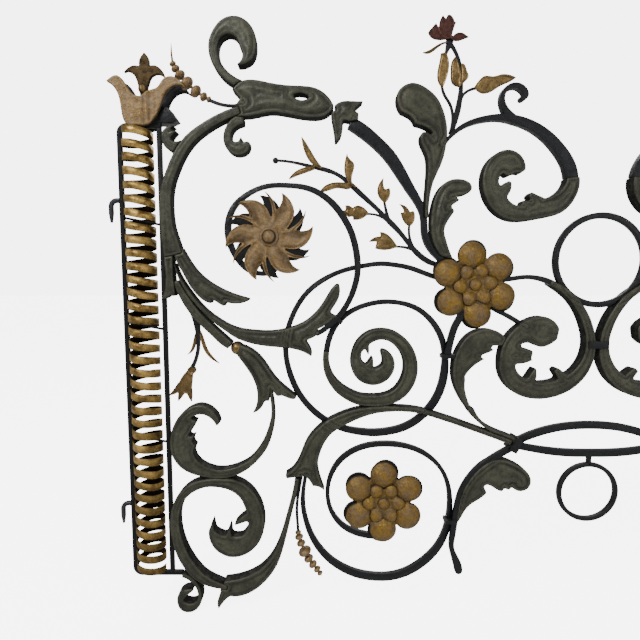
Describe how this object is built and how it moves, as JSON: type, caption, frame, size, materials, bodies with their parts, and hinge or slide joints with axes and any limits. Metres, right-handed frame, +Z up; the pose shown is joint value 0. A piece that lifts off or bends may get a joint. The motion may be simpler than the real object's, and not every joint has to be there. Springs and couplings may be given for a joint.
{
  "type": "wrought iron scrollwork hanging panel",
  "caption": "Symmetric wrought-iron panel of leaf scrolls, rings, rosettes and gilt ribbon columns that hangs by drop-in hooks.",
  "frame": {"origin": "on the panel's axis of symmetry, in the middle of its depth, at the level of its lowest scroll", "axes": "+X along the panel to the viewer's right, +Z up, and the front faces -Y"},
  "size_m": [1.946, 0.071, 1.2021],
  "materials": {
    "bar_iron": "charcoal blue-black paint, worn at the edges",
    "post_iron": "matt black paint with dust",
    "leaf_iron": "dark olive grey patina on embossed sheet",
    "gilt": "worn gilding",
    "ribbon_gilt": "bright worn gilding, brown inside",
    "rosette_bronze": "ochre bronze with grey wear",
    "sunflower_bronze": "brown gold",
    "red_bronze": "dull red-brown",
    "hook_iron": "bare rubbed iron"
  },
  "bodies": {
    "root": {"acanthus_bars": "leaf_iron", "arch_bars": "bar_iron", "bead_rows": "sunflower_bronze", "bead_stems": "bar_iron", "berry_rings": "bar_iron", "bluebell_stems": "bar_iron", "bluebells": "gilt", "c_scrolls": "leaf_iron", "calyxes": "leaf_iron", "cap_straps": "bar_iron", "carnation_foils": "red_bronze", "carnation_stems": "bar_iron", "centre_bars": "bar_iron", "centre_rings": "bar_iron", "collar_leaves": "leaf_iron", "crescents": "leaf_iron", "fleur_finials": "gilt", "foot_curls": "leaf_iron", "frame_bars": "post_iron", "gilt_ribbons": "ribbon_gilt", "hooks": "hook_iron", "husk_curls": "leaf_iron", "inner_posts": "post_iron", "inner_spirals": "leaf_iron", "knob_branches": "leaf_iron", "knob_husks": "leaf_iron", "knobs": "gilt", "lobed_leaves": "leaf_iron", "lower_bars": "bar_iron", "lower_leaves": "leaf_iron", "lower_sheaths": "leaf_iron", "main_leaves": "leaf_iron", "palmette_backs": "post_iron", "palmette_fronts": "sunflower_bronze", "post_rungs": "post_iron", "rosette_backs": "post_iron", "rosette_bars": "bar_iron", "rosette_bosses": "rosette_bronze", "rosette_drops": "bar_iron", "rosette_florets": "rosette_bronze", "rosette_hubs": "bar_iron", "rosette_petals": "rosette_bronze", "sheath_leaves": "leaf_iron", "side_scrolls": "leaf_iron", "small_curls": "leaf_iron", "small_gilt_leaves": "gilt", "spiral_bars": "bar_iron", "spiral_leaves": "leaf_iron", "sprig_stems": "bar_iron", "sunflower_backs": "post_iron", "sunflower_bosses": "sunflower_bronze", "sunflower_fronts": "sunflower_bronze", "sunflower_rings": "bar_iron", "tailed_leaves": "leaf_iron", "tall_leaves": "leaf_iron", "ties": "bar_iron", "top_arches": "bar_iron", "top_husks": "leaf_iron", "top_spirals": "leaf_iron"}
  },
  "joints": []
}
